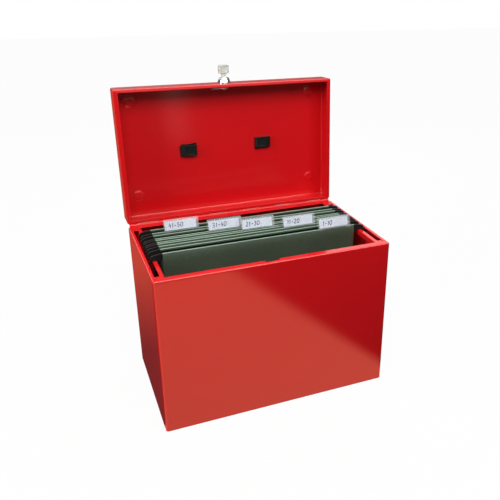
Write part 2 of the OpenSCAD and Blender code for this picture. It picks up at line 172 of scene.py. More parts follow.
# A profile (r, z) turned about Z: x = r cos t, y = r sin t.
def lathe(profile, steps=48):
    profile = np.asarray(profile, float)
    t = fullTurn(steps)[None, :]
    r, z = profile[:, :1], profile[:, 1:]
    return gridPoints(r * np.cos(t), r * np.sin(t), z), gridQuads(len(profile), steps, closeColumns=True)


# A part drawn about Z, laid along X.
def alongX(part):
    return part[0][..., [2, 0, 1]], part[1]


# Points on a circle's arc, angles in degrees: x = cx + radius cos a, y = cy + radius sin a.
def arc(cx, cy, radius, start, end, steps):
    a = turns(start, end, steps + 1)
    return np.column_stack([cx + radius * np.cos(a), cy + radius * np.sin(a)])


# Outline of a rectangle with round corners, anticlockwise, the same number of points at any size.
def roundedOutline(width, height, radius, steps=5):
    w = max(width / 2, 0.01)
    h = max(height / 2, 0.01)
    r = min(radius, w, h)
    corners = ((w - r, h - r), (r - w, h - r), (r - w, r - h), (w - r, r - h))
    return np.concatenate([arc(x, y, r, 90 * i, 90 * i + 90, steps) for i, (x, y) in enumerate(corners)])


# Rounded outlines stacked along Z, one for each (inset, z), from the bottom's middle to the top's middle.
def layers(width, height, radius, levels, steps=5):
    rows = [np.column_stack([roundedOutline(width - 2 * inset, height - 2 * inset, max(radius - inset, 0.02), steps),
                             np.full(4 * (steps + 1), z)]) for inset, z in levels]
    points = np.stack(rows)
    return points, gridQuads(len(rows), points.shape[1], closeColumns=True)


# Sorted lines with those nearer than the least gap to a kept line or to each other left out.
def thinned(lines, keep, least=0.4):
    out = sorted(set(np.round(keep, 4)))
    low, high = out[0], out[-1]
    for value in np.sort(lines):
        if low < value < high and min(abs(value - other) for other in out) >= least:
            out.append(value)
    return np.sort(np.array(out))


# Lines along one side: even, with two more close to each stated edge.
def sideLines(start, end, spacing, edges=(), near=0.8):
    even = np.linspace(start, end, max(2, int(round((end - start) / spacing)) + 1))
    close = [edge + step for edge in edges for step in (-near, near)]
    return thinned(even, [start, end, *edges, *close], 1.0)


# Leaves the piece's mesh as its modifiers make it.
def settle(piece):
    graph = bpy.context.evaluated_depsgraph_get()
    done = bpy.data.meshes.new_from_object(piece.evaluated_get(graph), preserve_all_data_layers=True, depsgraph=graph)
    old = piece.data
    piece.modifiers.clear()
    piece.data = done
    bpy.data.meshes.remove(old)


# Gives a mesh its sheet thickness and rounded edges, shades it smooth below the stated angle, and hands it to the
# frame.
def finishPiece(piece, body, replaces, sheet, edge, edgeSteps, smooth):
    if sheet:
        wall = piece.modifiers.new("sheet", "SOLIDIFY")
        wall.thickness = sheet * mm
        wall.offset = -1
        wall.use_even_offset = True
        settle(piece)
    if edge:
        rounding = piece.modifiers.new("edge", "BEVEL")
        rounding.width = edge * mm
        rounding.segments = edgeSteps
        rounding.limit_method = "ANGLE"
        rounding.angle_limit = math.radians(40)
        settle(piece)
    piece.data.shade_smooth()
    piece.data.set_sharp_from_angle(angle=math.radians(smooth))
    weighted = piece.modifiers.new("normals", "WEIGHTED_NORMAL")
    weighted.keep_sharp = True
    settle(piece)
    piece.data.name = piece.name
    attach(piece, body)
    if replaces:
        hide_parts(*replaces)
    return piece


def addObject(name, data):
    added = bpy.data.objects.new(name, data)
    bpy.context.scene.collection.objects.link(added)
    return added


def meshPoints(mesh):
    points = np.empty((len(mesh.vertices), 3), np.float32)
    mesh.vertices.foreach_get("co", points.ravel())
    return points


def meshOf(name, part, scale=1.0):
    mesh = bpy.data.meshes.new(name)
    mesh.from_pydata((np.asarray(part[0], float).reshape(-1, 3) * scale).tolist(), [], faceLists(part[1]))
    return mesh


def addPiece(name, body, material, part, replaces=(), sheet=0.0, edge=0.0, edgeSteps=2, smooth=50,
             outward=False):
    mesh = meshOf(name, part, mm)
    mesh.materials.append(material)
    work = bmesh.new()
    work.from_mesh(mesh)
    bmesh.ops.remove_doubles(work, verts=work.verts, dist=weld)
    bmesh.ops.dissolve_degenerate(work, edges=work.edges, dist=weld / 2)
    if outward:
        bmesh.ops.recalc_face_normals(work, faces=work.faces)
    work.to_mesh(mesh)
    work.free()
    return finishPiece(addObject(name, mesh), body, replaces, sheet, edge, edgeSteps, smooth)


# A rounded copy of a CAD node: merged, its flat faces joined, its edges rounded. A span is its new reach along X.
def dressNode(node, name, material, edge, edgeSteps=2, smooth=50, span=None):
    source = frame["nodes"][node]
    mesh = source.data.copy()
    mesh.name = name
    mesh.materials.clear()
    mesh.materials.append(material)
    work = bmesh.new()
    work.from_mesh(mesh)
    bmesh.ops.remove_doubles(work, verts=work.verts, dist=weld)
    bmesh.ops.dissolve_limit(work, angle_limit=math.radians(1), verts=work.verts, edges=work.edges)
    work.to_mesh(mesh)
    work.free()
    if span:
        points = meshPoints(mesh)
        x = points[:, 0]
        points[:, 0] = np.where(x < (x.min() + x.max()) / 2, span[0] * mm, span[1] * mm)
        mesh.vertices.foreach_set("co", points.ravel())
    if "custom_normal" in mesh.attributes:
        mesh.attributes.remove(mesh.attributes["custom_normal"])
    return finishPiece(addObject(name, mesh), source["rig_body"], [node], 0, edge, edgeSteps, smooth)


# Feeds a node's inputs, by name or number: a socket is linked, a colour gets its alpha, and the rest is set as it is.
def feed(tree, node, values):
    for name, value in values.items():
        if isinstance(value, bpy.types.NodeSocket):
            tree.links.new(value, node.inputs[name])
        elif isinstance(value, tuple) and len(value) == 3 and node.inputs[name].type == "RGBA":
            node.inputs[name].default_value = (*value, 1)
        else:
            node.inputs[name].default_value = value
    return node


def newNode(tree, kind, values):
    return feed(tree, tree.nodes.new("ShaderNode" + kind), values)


def newMaterial(name):
    material = bpy.data.materials.new(name)
    material.use_nodes = True
    tree = material.node_tree
    return material, tree, tree.nodes["Principled BSDF"], newNode(tree, "TexCoord", {}).outputs["Object"]


def newGroup(name, inputs, outputs):
    tree = bpy.data.node_groups.new(name, "ShaderNodeTree")
    for label, kind, value in inputs:
        socket = tree.interface.new_socket(name=label, in_out="INPUT", socket_type="NodeSocket" + kind)
        if value is not None:
            socket.default_value = value
    for label, kind in outputs:
        tree.interface.new_socket(name=label, in_out="OUTPUT", socket_type="NodeSocket" + kind)
    return tree, tree.nodes.new("NodeGroupInput").outputs, tree.nodes.new("NodeGroupOutput")


def mathNode(tree, operation, a, b=None, clamp=False):
    node = newNode(tree, "Math", {0: a} if b is None else {0: a, 1: b})
    node.operation = operation
    node.use_clamp = clamp
    return node.outputs[0]


def mixColour(tree, factor, a, b):
    node = tree.nodes.new("ShaderNodeMix")
    node.data_type = "RGBA"
    return feed(tree, node, {0: factor, 6: a, 7: b}).outputs[2]


def splitPlace(tree, place):
    return newNode(tree, "SeparateXYZ", {"Vector": place}).outputs


# A middle value plus depth * (noise - 0.5) * 2.
def wander(tree, noise, middle, depth, clamp=False):
    swing = mathNode(tree, "MULTIPLY", mathNode(tree, "SUBTRACT", noise, 0.5), depth)
    return mathNode(tree, "ADD", mathNode(tree, "MULTIPLY", swing, 2.0), middle, clamp)


# Slow changes of tone over a surface: a colour multiplied between two levels by large soft noise.
def makeToneGroup():
    tree, given, end = newGroup("slowTone", [("Place", "Vector", None), ("Colour", "Color", (0.5, 0.5, 0.5, 1)),
                                             ("Scale", "Float", 8.0), ("Depth", "Float", 0.1)], [("Colour", "Color")])
    noise = newNode(tree, "TexNoise", {"Vector": given["Place"], "Scale": given["Scale"], "Detail": 4})
    level = wander(tree, noise.outputs["Fac"], 1.0, given["Depth"])
    scaled = tree.nodes.new("ShaderNodeVectorMath")
    scaled.operation = "SCALE"
    feed(tree, end, {"Colour": feed(tree, scaled, {0: given["Colour"], "Scale": level}).outputs[0]})
    return tree


# Fine surface grain: noise height, and a roughness that wanders round a middle value with smudges.
def makeGrainGroup():
    tree, given, end = newGroup("surfaceGrain", [("Place", "Vector", None), ("Grain scale", "Float", 900.0),
                                                 ("Smudge scale", "Float", 14.0), ("Roughness", "Float", 0.3),
                                                 ("Smudge", "Float", 0.08)],
                                [("Height", "Float"), ("Roughness", "Float")])
    grain = newNode(tree, "TexNoise", {"Vector": given["Place"], "Scale": given["Grain scale"], "Detail": 2})
    smudge = newNode(tree, "TexNoise", {"Vector": given["Place"], "Scale": given["Smudge scale"], "Detail": 5,
                                        "Distortion": 0.6})
    rough = wander(tree, smudge.outputs["Fac"], given["Roughness"], given["Smudge"], clamp=True)
    feed(tree, end, {"Height": grain.outputs["Fac"], "Roughness": rough})
    return tree


toneGroup = makeToneGroup()
grainGroup = makeGrainGroup()


def placeGroup(tree, group, values):
    node = tree.nodes.new("ShaderNodeGroup")
    node.node_tree = group
    return feed(tree, node, values).outputs


# Places both groups in a material. Tone is (scale, depth), smudge is (scale, swing of the roughness), and a bump's
# depth is in millimetres.
def surfaceFinish(tree, shader, place, colour, tone, grainScale, roughness, smudge, bump, bumpDepth):
    toned = placeGroup(tree, toneGroup, {"Place": place, "Colour": colour, "Scale": tone[0], "Depth": tone[1]})
    grain = placeGroup(tree, grainGroup, {"Place": place, "Grain scale": grainScale, "Smudge scale": smudge[0],
                                          "Roughness": roughness, "Smudge": smudge[1]})
    relief = newNode(tree, "Bump", {"Strength": bump, "Distance": bumpDepth * mm, "Height": grain["Height"]})
    feed(tree, shader, {"Base Color": toned["Colour"], "Roughness": grain["Roughness"],
                        "Normal": relief.outputs["Normal"]})


# Baked enamel: a clean gloss with a faint rougher haze over it.
def makeEnamel(name, roughness):
    material, tree, shader, place = newMaterial(name)
    surfaceFinish(tree, shader, place, (0.56, 0.0045, 0.0075), tone=(6, 0.05), grainScale=650, roughness=roughness,
                  smudge=(14, 0.03), bump=0.06, bumpDepth=0.03)
    feed(tree, shader, {"Specular IOR Level": 0.45, "Specular Tint": (1, 0.93, 0.82), "Coat Weight": 0.15,
                        "Coat Roughness": 0.5})
    return material


def makeMetal(name, colour, roughness, smudge=0.06):
    material, tree, shader, place = newMaterial(name)
    surfaceFinish(tree, shader, place, colour, tone=(60, 0.10), grainScale=500, roughness=roughness,
                  smudge=(90, smudge), bump=0.15, bumpDepth=0.03)
    feed(tree, shader, {"Metallic": 1})
    return material


def makeMoulded(name, colour, roughness):
    material, tree, shader, place = newMaterial(name)
    surfaceFinish(tree, shader, place, colour, tone=(40, 0.15), grainScale=1400, roughness=roughness,
                  smudge=(70, 0.08), bump=0.25, bumpDepth=0.04)
    feed(tree, shader, {"Specular IOR Level": 0.15})
    return material


# Card with long pale fibres, which are noise stretched along X. A fold is (low, high, colour): its top painted paler,
# partly as wear and partly as a painted highlight where the light from above falls.
def makeCard(name, colour, roughness=0.62, specular=0.25, fold=None):
    material, tree, shader, place = newMaterial(name)
    stretched = newNode(tree, "Mapping", {"Vector": place, "Scale": (0.25, 1, 1)})
    fibre = newNode(tree, "TexNoise", {"Vector": stretched.outputs["Vector"], "Scale": 1500, "Detail": 2,
                                       "Roughness": 0.5})
    pale = tuple(min(1, c * 1.7 + 0.01) for c in colour)
    fibreMask = mathNode(tree, "SUBTRACT", fibre.outputs["Fac"], 0.52, clamp=True)
    mixed = mixColour(tree, mathNode(tree, "MULTIPLY", fibreMask, 3.0, clamp=True), colour, pale)
    if fold:
        # painted highlight and wear: above low the card turns to the paler colour, fully by high
        low, high, wornAndHighlitTop = fold
        above = mathNode(tree, "SUBTRACT", splitPlace(tree, place)["Z"], low * mm)
        mixed = mixColour(tree, mathNode(tree, "DIVIDE", above, (high - low) * mm, clamp=True), mixed, wornAndHighlitTop)
    surfaceFinish(tree, shader, place, mixed, tone=(12, 0.24), grainScale=1100, roughness=roughness,
                  smudge=(20, 0.08), bump=0.25, bumpDepth=0.06)
    feed(tree, shader, {"Specular IOR Level": specular})
    return material


def makeClear(name, colour, alpha, roughness):
    material, tree, shader, place = newMaterial(name)
    surfaceFinish(tree, shader, place, colour, tone=(50, 0.05), grainScale=800, roughness=roughness,
                  smudge=(60, 0.08), bump=0.1, bumpDepth=0.03)
    feed(tree, shader, {"Alpha": alpha})
    return material


enamel = makeEnamel("redEnamel", 0.12)
hingeEnamel = makeEnamel("hingeEnamel", 0.42)
zinc = makeMetal("zincSteel", (0.70, 0.69, 0.66), 0.38)
chrome = makeMetal("lockChrome", (0.84, 0.84, 0.87), 0.16, smudge=0.04)
blackPlastic = makeMoulded("blackPlastic", (0.009, 0.0105, 0.010), 0.34)
# the green card's fold tops are painted paler: partly wear, partly a painted highlight of the light from above
greenCard = makeCard("greenCard", (0.047, 0.067, 0.044), 0.42, 0.5, fold=(257.5, 258.3, (0.135, 0.215, 0.155)))
whiteCard = makeCard("whiteCard", (0.575, 0.61, 0.70))
tabPlastic = makeClear("tabPlastic", (0.62, 0.66, 0.70), 0.13, 0.14)
keyPlastic = makeClear("keyPlastic", (0.55, 0.57, 0.52), 0.88, 0.42)
ink = makeMoulded("ink", (0.010, 0.013, 0.05), 0.6)
print("materials made")


# Centre line of a rounded rectangle, anticlockwise from the front left. A wall point is centre + radius * outward.
def ringPath(xLines, yLines, cornerSteps=6):
    cx = np.full(len(yLines), xLines[-1])
    cy = np.full(len(xLines), yLines[-1])
    turn = turns(0, 90, cornerSteps + 1)[1:-1]
    runs = [np.column_stack(run) for run in ((xLines, -cy), (cx, yLines), (xLines[::-1], cy), (-cx, yLines[::-1]))]
    centres, outwards = [], []
    for side, run in enumerate(runs):
        angle = math.radians(90 * side - 90)
        centres += [run, np.tile(run[-1], (len(turn), 1))]
        outwards += [np.tile([math.cos(angle), math.sin(angle)], (len(run), 1)),
                     np.column_stack([np.cos(angle + turn), np.sin(angle + turn)])]
    return np.concatenate(centres), np.concatenate(outwards)


# Depth of a panel's slight dish: amp * (sin(pi s) sin(pi t)) ^ 0.7 with a slow ripple, zero at its edges.
def dish(s, t, amp):
    middle = np.clip(np.sin(math.pi * s), 0, 1) * np.clip(np.sin(math.pi * t), 0, 1)
    return amp * middle ** 0.7 * (1 + 0.25 * np.sin(9 * s + 5 * t))


# One row of a wall: the centre line moved outwards by rho, at height z.
def wallRow(centres, outwards, rho, z):
    rho = np.broadcast_to(rho, (len(centres),))[:, None]
    return np.column_stack([centres + outwards * rho, np.full(len(centres), z)])


# Where turned-in flanges end: the centre line kept within the opening they leave.
def flangeEnds(centres, side, front, rear):
    return np.column_stack([np.clip(centres[:, 0], -halfWidth + side, halfWidth - side),
                            np.clip(centres[:, 1], -halfDepth + front, halfDepth - rear)])


# A level row part of the way from one line of points to another.
def levelRow(start, end, share, z):
    return np.column_stack([start + (end - start) * share, np.full(len(start), z)])


# The body's wall: up, round the top bend by rho = r - b + b cos a, z = top - b + b sin a, then level to the
# flanges' edges.
def bodyWalls():
    r = box["corner"]
    top = box["height"]
    bend = box["topBend"]
    cx = halfWidth - r
    cy = halfDepth - r
    left, right = box["notchLeft"], box["notchRight"]
    centres, outwards = ringPath(sideLines(-cx, cx, 9, (left, right)), sideLines(-cy, cy, 9))
    inner = flangeEnds(centres, box["sideFlange"], box["frontFlange"], box["rearFlange"])
    facesY = np.abs(outwards[:, 1]) > 0.999
    facesX = np.abs(outwards[:, 0]) > 0.999
    along = np.where(facesY, (centres[:, 0] + cx) / (2 * cx), (centres[:, 1] + cy) / (2 * cy))
    levels = [0, *np.linspace(1.5, top - bend - 1, 22), top - bend]
    rows = [wallRow(centres, outwards, r - dish(along, z / top, box["dish"]) * (facesX | facesY), z) for z in levels]
    rows += [wallRow(centres, outwards, r - bend + bend * math.cos(a), top - bend + bend * math.sin(a))
             for a in turns(0, 90, 7)[1:]]
    start = centres + outwards * (r - bend)
    notchShare = (box["notchEdge"] - bend) / (box["frontFlange"] - bend)
    rows += [levelRow(start, inner, share, top) for share in (0.1, notchShare, 0.9, 1.0)]
    points = np.stack(rows)
    quads = gridQuads(len(rows), len(centres), closeColumns=True)
    middle = middles(points, quads)
    inNotch = ((middle[:, 0] > left) & (middle[:, 0] < right) & (middle[:, 2] > top - 0.01)
               & (middle[:, 1] > -halfDepth + box["notchEdge"]) & (middle[:, 1] < 0))
    return points, quads[~inNotch]


# A pan: a flat floor, rounded up by rho = r cos a, z = r + r sin a, to a straight edge.
def basePan():
    r = box["corner"] - box["sheet"]
    cx = halfWidth - box["corner"]
    cy = halfDepth - box["corner"]
    xLines = sideLines(-cx, cx, 30)
    yLines = sideLines(-cy, cy, 30)
    centres, outwards = ringPath(xLines, yLines)
    rows = [wallRow(centres, outwards, r * math.cos(a), r + r * math.sin(a)) for a in turns(-90, 0, 6)]
    rows.append(wallRow(centres, outwards, r, box["panRise"]))
    floor = gridPoints(xLines[None, :], yLines[:, None], 0.0)
    return joinParts((floor, gridQuads(len(yLines), len(xLines))[:, ::-1]),
                     (np.stack(rows), gridQuads(len(rows), len(centres), closeColumns=True)))


# The closed lid: a top with four pressed seats, depth * (3 s^2 - 2 s^3) across their slopes, and holes for the
# handle; skirts that fold down from it with a round lock hole; and flanges turned in at the rim, bent a little
# past square, so that they rise by rimRise from their edges to the bend.
def lidWalls():
    r = box["fold"]
    rim, rise = lid["rimFold"], lid["rimRise"]
    cx = halfWidth - r
    cy = halfDepth - r
    reach = lid["seatRadius"]
    seatX = halfWidth - lid["seatSide"]
    seatYs = (-halfDepth + lid["seatFront"], halfDepth - lid["seatBack"])
    holeX = [handle["span"] / 2 + side * lid["handleHole"][0] / 2 for side in (-1, 1)]
    holeY = lid["handleHole"][1] / 2
    lockX = [lock["x"] + step * lid["lockHole"] for step in (-1, -0.5, 0, 0.5, 1)]
    lockZ = [lidZ + lock["up"] + step * lid["lockHole"] for step in (-1, -0.5, 0, 0.5, 1)]
    fine = np.arange(-reach - 0.5, reach + 0.51, 0.75)
    xLines = thinned(np.concatenate([np.linspace(-cx, cx, 41), seatX + fine, -seatX + fine, [1 - cx, cx - 1]]),
                     [-cx, cx, *holeX, *[-x for x in holeX], *lockX])
    yLines = thinned(np.concatenate([np.linspace(-cy, cy, 25), seatYs[0] + fine, seatYs[1] + fine, [1 - cy, cy - 1]]),
                     [-cy, cy, -holeY, holeY])
    x, y = np.meshgrid(xLines, yLines)
    sink = dish((x + cx) / (2 * cx), (y + cy) / (2 * cy), lid["dish"])
    for seatY in seatYs:
        slope = np.clip((reach - np.hypot(np.abs(x) - seatX, y - seatY)) / lid["seatSlope"], 0, 1)
        sink = sink + lid["seatDepth"] * eased(slope)
    top = np.stack([x, y, lidTop - sink], -1)
    topQuads = gridQuads(len(yLines), len(xLines))
    middle = middles(top, topQuads)
    inHole = ((np.abs(np.abs(middle[:, 0]) - handle["span"] / 2) < lid["handleHole"][0] / 2)
              & (np.abs(middle[:, 1]) < holeY))

    centres, outwards = ringPath(xLines, yLines)
    inner = flangeEnds(centres, lid["sideFlange"], lid["endFlange"], lid["endFlange"])
    start = centres + outwards * (r - rim)
    rows = [levelRow(start, inner, share, lidZ + rise * (1 - share)) for share in (1.0, 0.5, 0.1, 0.0)]
    rows += [wallRow(centres, outwards, r - rim + rim * math.cos(a), lidZ + rise + rim + rim * math.sin(a))
             for a in turns(-90, 0, 5)[1:]]
    rows += [wallRow(centres, outwards, r, z) for z in (lidZ + 3, *lockZ, lidTop - r - 2)]
    rows += [wallRow(centres, outwards, r * math.cos(a), lidTop - r + r * math.sin(a)) for a in turns(0, 90, 7)]
    walls = np.stack(rows)
    # the square of points round the lock's axis is drawn in to its circle
    dx = walls[..., 0] - lock["x"]
    dz = walls[..., 2] - lidZ - lock["up"]
    square = (walls[..., 1] < 0.01 - halfDepth) & (np.maximum(np.abs(dx), np.abs(dz)) < lid["lockHole"] + 0.01)
    scale = np.where(square, lid["lockHole"] / np.maximum(np.hypot(dx, dz), 1e-6), 1)
    walls[..., 0] = lock["x"] + dx * scale
    walls[..., 2] = lidZ + lock["up"] + dz * scale
    wallQuads = gridQuads(len(rows), len(centres), closeColumns=True)
    inside = square.reshape(-1)[wallQuads].all(1)
    return moved(joinParts((top, topQuads[~inHole]), (walls, wallQuads[~inside])), openLid)


# Where the skirts meet: a tab turned round each corner on the inside, spot-welded flat against the long skirt.
def cornerTabs():
    plates = []
    edge = halfWidth - box["sheet"]
    end = edge - lid["tabWidth"]
    outline = [(edge - 0.3, lidZ + 3), (edge - 0.3, lidTop - 4.6), (edge - 3, lidTop - 3.6), (end + 3, lidTop - 3.6),
               (end, lidTop - 7), (end, lidZ + 6), (end + 3, lidZ + 3)]
    for side in (-1, 1):
        inner = side * (halfDepth - box["sheet"])
        near, far = sorted((inner + side * 0.1, inner - side * lid["tabSheet"]))
        plate = slab(outline[::-1], near, far, "y")
        plates += [plate, mirrored(plate)]
    return moved(joinParts(*plates), openLid)


addPiece("bodyWalls", "body", enamel, bodyWalls(), ["body_shell"], sheet=box["sheet"], edge=0.2)
addPiece("basePan", "body", enamel, basePan(), ["base_panel"], sheet=box["sheet"], edge=0.2)
addPiece("lidWalls", "lid", enamel, lidWalls(), ["lid_shell"], sheet=box["sheet"], edge=0.2)
addPiece("lidCornerTabs", "lid", enamel, cornerTabs(), edge=0.35, outward=True)
print("walls and lid made")


rail = {"top": 248.0, "strip": (162.75, 169.25), "slotEdge": 176.75, "wall": 179.25, "sheet": 1.2, "lip": 8.0,
        "bend": 1.6, "plateEnd": 104.5, "slotEnd": 89.5}


# The right-hand rail: a level plate with a slot, bent down by x = x0 + r - r sin a, z = top - r + r cos a, to a lip.
def railSheet():
    r = rail["bend"]
    stripIn, stripOut = rail["strip"]
    slotMiddle = (rail["slotEdge"] + stripOut) / 2
    section = [(x, rail["top"]) for x in (rail["wall"], rail["slotEdge"], slotMiddle, stripOut, stripOut - 0.6,
                                          (stripIn + stripOut) / 2)]
    section += [(stripIn + r - r * math.sin(a), rail["top"] - r + r * math.cos(a)) for a in turns(0, 90, 6)]
    section += [(stripIn, rail["top"] - rail["lip"] + 2), (stripIn, rail["top"] - rail["lip"])]
    section = np.array(section)
    yLines = sideLines(-rail["plateEnd"], rail["plateEnd"], 12, (-rail["slotEnd"], rail["slotEnd"]))
    points = gridPoints(section[:, :1], yLines[None, :], section[:, 1:])
    quads = gridQuads(len(section), len(yLines))
    middle = middles(points, quads)
    within = np.abs(middle[:, 1]) < rail["slotEnd"]
    inSlot = within & (middle[:, 0] > stripOut) & (middle[:, 0] < rail["slotEdge"])
    noLip = ~within & (middle[:, 2] < rail["top"] - 0.45 * r)
    return points, quads[~(inSlot | noLip)]


for name, part in (("Right", railSheet()), ("Left", mirrored(railSheet()))):
    addPiece("rail" + name, "body", enamel, part, ["rail_" + name.lower()],
             sheet=rail["sheet"], edge=0.25)


# Leaf with a comb of knuckles. Up is 1 for the lid's leaf and -1 for the body's, drawn in the closed position.
def hingeLeaf(up, first):
    pitch = hinge["length"] / hinge["knuckles"]
    offset = hinge["radius"] + hinge["gap"]
    near = offset * up
    root = lid["gap"] / 2 * up
    end = hinge["leaf"] * up
    half = hinge["length"] / 2
    toothed = []
    for i in range(hinge["knuckles"]):
        x0 = -half + i * pitch
        own = i % 2 == first
        level = root if own else near
        step = 0 if own else -hinge["gap"] / 2
        toothed += [(max(x0 + step, -half), level), (min(x0 + pitch - step, half), level)]
    parts = [slab(toothed + [(half, end), (-half, end)], -offset, -offset + hinge["leafSheet"], "y")]
    r = hinge["radius"]
    for i in range(first, hinge["knuckles"], 2):
        x0 = -half + i * pitch + hinge["gap"] / 2
        x1 = x0 + pitch - hinge["gap"]
        profile = [(hinge["bore"], x0), (r - 0.3, x0), (r, x0 + 0.3), (r, x0 + 1), (r, x1 - 1), (r, x1 - 0.3),
                   (r - 0.3, x1), (hinge["bore"], x1), (hinge["bore"], x0)]
        parts.append(alongX(lathe(profile, 28)))
    points, faces = joinParts(*parts)
    return points + [0, hingeY, hingeZ], faces


addPiece("hingeBodyLeaf", "body", hingeEnamel, hingeLeaf(-1, 0), ["hinge_body_leaf"],
         edge=0.18, smooth=35, outward=True)
addPiece("hingeLidLeaf", "lid", hingeEnamel, moved(hingeLeaf(1, 1), openLid), ["hinge_lid_leaf"],
         edge=0.18, smooth=35, outward=True)
# the lugs that hold the lid open fill the room beside the hinge
stopReach = (hinge["length"] / 2 + 0.15, halfWidth - box["fold"])
dressNode("lid_stop_left", "lidStopLeft", enamel, 0.2, span=(-stopReach[1], -stopReach[0]))
dressNode("lid_stop_right", "lidStopRight", enamel, 0.2, span=stopReach)
for finish in frame["nodes"]["hinge_pin"].material_slots:
    finish.material = zinc
print("rails and hinge made")


# Lock points, whose Z points out of the front skirt, to their place on the open lid.
def atLock(points):
    across, up, out = np.moveaxis(np.asarray(points, float), -1, 0)
    return openLid(np.stack([lock["x"] + across, -halfDepth - out, lidZ + lock["up"] + up], -1))


# Crests and roots of a thread as (r, z), one after the other.
def threadLine(radius, cut, start, end, step):
    return [(radius - (cut if i % 2 else 0), z) for i, z in enumerate(np.arange(start, end, step))]


# Case of the lock: a threaded barrel, a flange and a domed cap that ends in a recess for the plug. The dome is a
# curve from a to c that is drawn towards b: a (1 - t)^2 + 2 b t (1 - t) + c t^2, in r and in z.
def lockCase():
    top, r, cap = lock["domeHeight"], lock["domeRadius"], lock["domeCap"]
    pullR, pullZ = lock["domePull"]
    bore, recess, seat = lock["bore"], lock["recess"], top - lock["recessDepth"]
    barrel, low, threadTop = lock["barrelRadius"], -lock["barrelEnd"], -lock["threadEnd"]
    t = np.linspace(0, 1, 13)
    domeR = r * (1 - t) ** 2 + 2 * pullR * t * (1 - t) + cap * t ** 2
    domeZ = (1 - t) ** 2 + 2 * pullZ * t * (1 - t) + top * t ** 2
    profile = [(bore, low), (barrel - 0.5, low)] + threadLine(barrel, 0.45, low + 0.3, threadTop, 0.5)
    profile += [(barrel, threadTop), (barrel, 0), (r - 0.2, 0), (r, 0.2), *zip(domeR, domeZ)]
    profile += [(recess + 0.15, top), (recess, top - 0.15), (recess, seat), (bore, seat), (bore, low)]
    return moved(lathe(profile, 64), atLock)


addPiece("lockCase", "lid", chrome, lockCase(), ["lock_body"], smooth=30)
dressNode("lock_nut", "lockNut", zinc, 0.25)
dressNode("lock_plug", "lockPlug", chrome, 0.12, smooth=30)
dressNode("lock_cam", "lockCam", zinc, 0.3)


screw = {"seat": -9.5, "long": 5.9, "radius": 1.9,
         "head": ((0, 1.1), (1.2, 1.1), (1.3, 1.9), (2.2, 1.8), (3.2, 1.3), (3.7, 0.6), (3.75, 0))}


# The cam's screw: a low pan head with a round recess, given as radius and height over its seat, and its thread,
# along the lock's axis.
def camScrew():
    seat = screw["seat"]
    end = seat + screw["long"]
    profile = [(r, seat - over) for r, over in screw["head"]] + threadLine(screw["radius"], 0.2, seat, end, 0.4)
    return moved(lathe(profile + [(0, end)], 40), atLock)


addPiece("camScrew", frame["nodes"]["cam_screw"]["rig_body"], zinc, camScrew(), ["cam_screw"],
         smooth=30, outward=True)

key = {"bladeWidth": 6.0, "bladeSheet": 2.0, "bladeIn": 10.5, "cuts": (0.9, 1.5, 0.6, 1.2, 0.8), "cutPitch": 1.6,
       "neck": 6.0, "neckWidth": 7.6, "neckDepth": 4.6, "headWidth": 17.0, "headHeight": 14.4, "headDepth": 6.0,
       "headOver": 5.0, "headRound": 0.9, "panel": ((2.2, 0), (2.7, 0.7), (4.5, 0.8), (7.1, 0.8), (8.4, 0.8))}


# Blade with five cuts along one edge, drawn in X and Z and carried through its thickness.
def keyBlade():
    half = key["bladeWidth"] / 2
    low = lock["domeHeight"] - key["bladeIn"]
    high = lock["domeHeight"] + key["neck"] + key["headHeight"] - key["headOver"]
    outline = [(-half + 0.8, low), (half - 0.8, low), (half, low + 1.2)]
    for i, depth in enumerate(key["cuts"]):
        z = low + 2 + key["cutPitch"] * i
        outline += [(half, z), (half - depth, z + 0.5), (half - depth, z + 0.9), (half, z + 1.4)]
    outline += [(half, high), (-half, high), (-half, low + 1.2)]
    return moved(slab(outline, -key["bladeSheet"] / 2, key["bladeSheet"] / 2, "y"), atLock)


# Head: a block whose edges are rounded by inset = e (1 - sin a), z = d / 2 - e (1 - cos a), with a shallow panel
# pressed into each face, given as (inset, depth), on a round-cornered neck.
def keyHead():
    h, d, e = key["headHeight"], key["headDepth"], key["headRound"]
    half = [(e * (1 - math.sin(a)), d / 2 - e * (1 - math.cos(a))) for a in turns(90, 0, 5)]
    half += [(inset, d / 2 - deep) for inset, deep in key["panel"]]
    block, faces = layers(key["headWidth"], h, 2.6, [(inset, -z) for inset, z in half[::-1]] + half, 6)
    middle = lock["domeHeight"] + key["neck"] + h / 2
    head = (np.stack([block[..., 0], -block[..., 2], middle + block[..., 1]], -1), faces)
    base = lock["domeHeight"] + 0.6
    neck = layers(key["neckWidth"], key["neckDepth"], 1,
                  [(3.7, base), (0.4, base), (0, base + 0.4), (0, base + key["neck"])], 4)
    return moved(joinParts(head, neck), atLock)


addPiece("keyBlade", "key", zinc, keyBlade(), ["key_blade"], edge=0.15, outward=True)
addPiece("keyHead", "key", keyPlastic, keyHead(), ["key_head"], outward=True)
print("lock and key made")

mount = {"length": 28.0, "width": 21.0, "corner": 4.0, "pad": 2.5, "rim": 1.0, "block": 7.0, "neck": (24.0, 17.0),
         "bossWidth": 12.0, "bossRadius": 7.5, "bossIn": 4.6, "bore": 3.1, "plate": 2.2, "cut": 3.8,
         "press": (2.0, 0.4, 0.9), "clearance": 0.05}
mountInner = -box["sheet"] - mount["clearance"]  # the lid's inside face, as heights over its top


# Presses the flat face that points down into a part: its edge goes in by inset, and the middle by depth over a
# short slope.
def pressed(part, inset, slope, depth):
    mesh = meshOf("pressed", part)
    work = bmesh.new()
    work.from_mesh(mesh)
    work.normal_update()
    chosen = [face for face in work.faces if face.normal.z < -0.99]
    bmesh.ops.inset_region(work, faces=chosen, thickness=inset, depth=0, use_even_offset=True)
    bmesh.ops.inset_region(work, faces=chosen, thickness=slope, depth=-depth, use_even_offset=True)
    work.to_mesh(mesh)
    work.free()
    points = meshPoints(mesh)
    faces = [list(face.vertices) for face in mesh.polygons]
    bpy.data.meshes.remove(mesh)
    return points, faces


